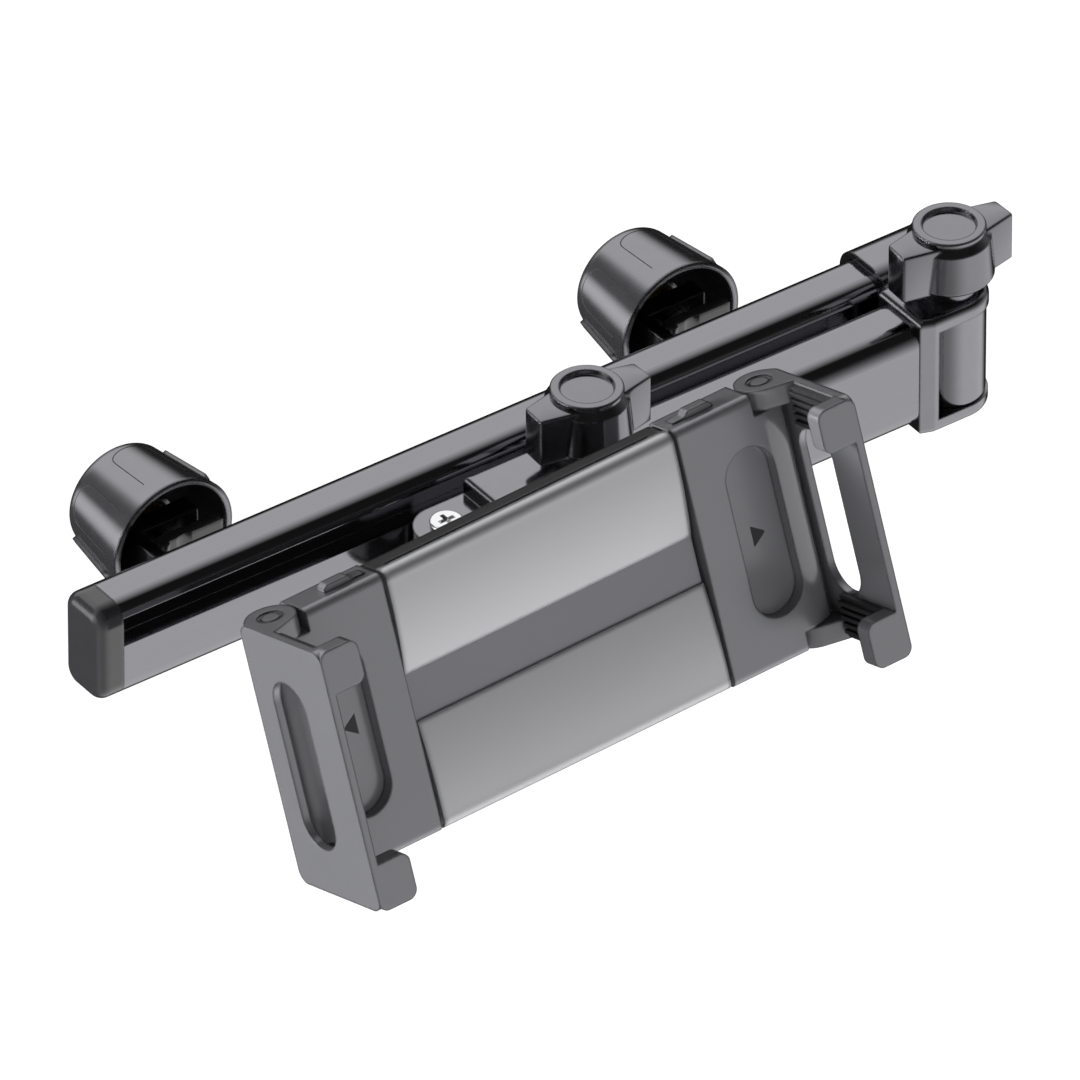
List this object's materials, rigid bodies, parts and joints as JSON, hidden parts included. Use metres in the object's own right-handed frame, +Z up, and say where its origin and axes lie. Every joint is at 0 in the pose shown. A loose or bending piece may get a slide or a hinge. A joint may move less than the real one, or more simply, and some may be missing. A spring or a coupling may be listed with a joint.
{
  "type": "headrest tablet mount",
  "caption": "Tablet mount for car seats: rail with clamps for the headrest posts, a folding arm with wing knobs, and a sprung tablet holder on a ball joint.",
  "frame": {"origin": "centre of the left headrest post where the left clamp grips it", "axes": "+X along the rail towards its hinge, +Y from the tablet to the headrest, +Z up along the posts"},
  "size_m": [0.2392, 0.1432, 0.077],
  "materials": {
    "gunmetal": "glossy gunmetal anodised or lacquered",
    "black_gloss": "gloss black",
    "satin_black": "satin gunmetal lacquer",
    "silver": "satin anodised",
    "band_grey": "satin grey",
    "rubber": "matt ribbed",
    "steel": "plain turned",
    "bright": "bright zinc",
    "brass": "turned"
  },
  "bodies": {
    "rail": {"rail_extrusion": "gunmetal", "rail_end_cap": "black_gloss", "rear_hinge_fitting": "gunmetal", "left_clamp_bracket": "gunmetal", "left_post_pad": "rubber"},
    "left_jaw_body": {"left_clamp_jaw": "black_gloss"},
    "left_knob": {"left_clamp_knob": "gunmetal", "left_clamp_stud": "steel", "left_knob_insert": "brass"},
    "right_clamp": {"right_clamp_bracket": "gunmetal", "right_post_pad": "rubber"},
    "right_jaw_body": {"right_clamp_jaw": "black_gloss"},
    "right_knob": {"right_clamp_knob": "gunmetal", "right_clamp_stud": "steel", "right_knob_insert": "brass"},
    "arm": {"arm_bar": "gunmetal", "arm_fork": "gunmetal", "arm_tongue": "gunmetal", "arm_hinge_bolt": "steel", "arm_hinge_washer": "gunmetal"},
    "arm_knob": {"arm_wing_knob": "gunmetal", "arm_knob_insert": "brass"},
    "link": {"link_body": "gunmetal", "link_hinge_bolt": "steel", "link_hinge_washer": "gunmetal", "lug_screw": "bright"},
    "link_knob": {"link_wing_knob": "gunmetal", "link_knob_insert": "brass"},
    "swivel": {"yaw_knuckle": "gunmetal", "ball_stud": "steel"},
    "collar": {"collar_nut": "black_gloss"},
    "holder": {"back_housing": "black_gloss", "front_cover": "silver", "centre_band": "band_grey", "cover_screws": "steel"},
    "right_wing_body": {"right_wing": "satin_black", "right_grip_pin": "steel"},
    "left_wing_body": {"left_wing": "satin_black", "left_grip_pin": "steel"},
    "right_grip": {"right_grip_jaw": "satin_black", "right_grip_pads": "rubber"},
    "left_grip": {"left_grip_jaw": "satin_black", "left_grip_pads": "rubber"}
  },
  "joints": [
    {"name": "left_knob_turn", "type": "hinge", "parent": "left_jaw_body", "child": "left_knob", "pos_m": [0, 0.0299, 0], "axis": [0, 1, 0], "range_deg": [-290, 390]},
    {"name": "left_jaw_slide", "type": "slide", "parent": "rail", "child": "left_jaw_body", "axis": [0, 1, 0], "range_m": [-0.00202, 0.00272]},
    {"name": "right_clamp_slide", "type": "slide", "parent": "rail", "child": "right_clamp", "axis": [1, 0, 0], "range_m": [-0.1, 0.02]},
    {"name": "right_knob_turn", "type": "hinge", "parent": "right_jaw_body", "child": "right_knob", "pos_m": [0.14, 0.0299, 0], "axis": [0, 1, 0], "range_deg": [-290, 390]},
    {"name": "right_jaw_slide", "type": "slide", "parent": "right_clamp", "child": "right_jaw_body", "axis": [0, 1, 0], "range_m": [-0.00202, 0.00272]},
    {"name": "arm_swing", "type": "hinge", "parent": "rail", "child": "arm", "pos_m": [0.1822, -0.0343, 0.0032], "axis": [0, 0, 1], "range_deg": [0, 180]},
    {"name": "arm_knob_turn", "type": "hinge", "parent": "arm", "child": "arm_knob", "pos_m": [0.1822, -0.0343, 0.026], "axis": [0, 0, 1], "range_deg": [0, 360]},
    {"name": "link_swing", "type": "hinge", "parent": "arm", "child": "link", "pos_m": [0.0819, -0.0343, 0.0032], "axis": [0, 0, 1], "range_deg": [-5, 30]},
    {"name": "link_knob_turn", "type": "hinge", "parent": "link", "child": "link_knob", "pos_m": [0.0819, -0.0343, 0.024], "axis": [0, 0, 1], "range_deg": [0, 360]},
    {"name": "holder_yaw", "type": "hinge", "parent": "link", "child": "swivel", "pos_m": [0.0434, -0.0343, 0], "axis": [0, 0, -1], "range_deg": [-15, 28]},
    {"name": "holder_tilt", "type": "hinge", "parent": "swivel", "child": "collar", "pos_m": [0.0434, -0.0563, 0.002], "axis": [-1, 0, 0], "range_deg": [-50, 17]},
    {"name": "holder_spin", "type": "hinge", "parent": "collar", "child": "holder", "pos_m": [0.0434, -0.0563, 0.002], "axis": [0, -0.9511, 0.309], "continuous": true},
    {"name": "right_wing_slide", "type": "slide", "parent": "holder", "child": "right_wing_body", "axis": [0.999, 0.0135, 0.0415], "range_m": [0, 0.035], "stiffness_N_per_m": 120, "springref_m": -0.02},
    {"name": "left_wing_slide", "type": "slide", "parent": "holder", "child": "left_wing_body", "axis": [-0.999, -0.0135, -0.0415], "range_m": [0, 0.035], "stiffness_N_per_m": 120, "springref_m": -0.02},
    {"name": "right_grip_fold", "type": "hinge", "parent": "right_wing_body", "child": "right_grip", "pos_m": [0.11074, -0.07146, 0.01002], "axis": [-0.0436, 0.3087, 0.9502], "range_deg": [0, 90]},
    {"name": "left_grip_fold", "type": "hinge", "parent": "left_wing_body", "child": "left_grip", "pos_m": [-0.02394, -0.07328, 0.00443], "axis": [0.0436, -0.3087, -0.9502], "range_deg": [0, 90]}
  ],
  "couplings": [
    {"joint": "left_jaw_slide", "follows": "left_knob_turn", "m_per_rad": 0.00039789},
    {"joint": "right_jaw_slide", "follows": "right_knob_turn", "m_per_rad": 0.00039789}
  ]
}
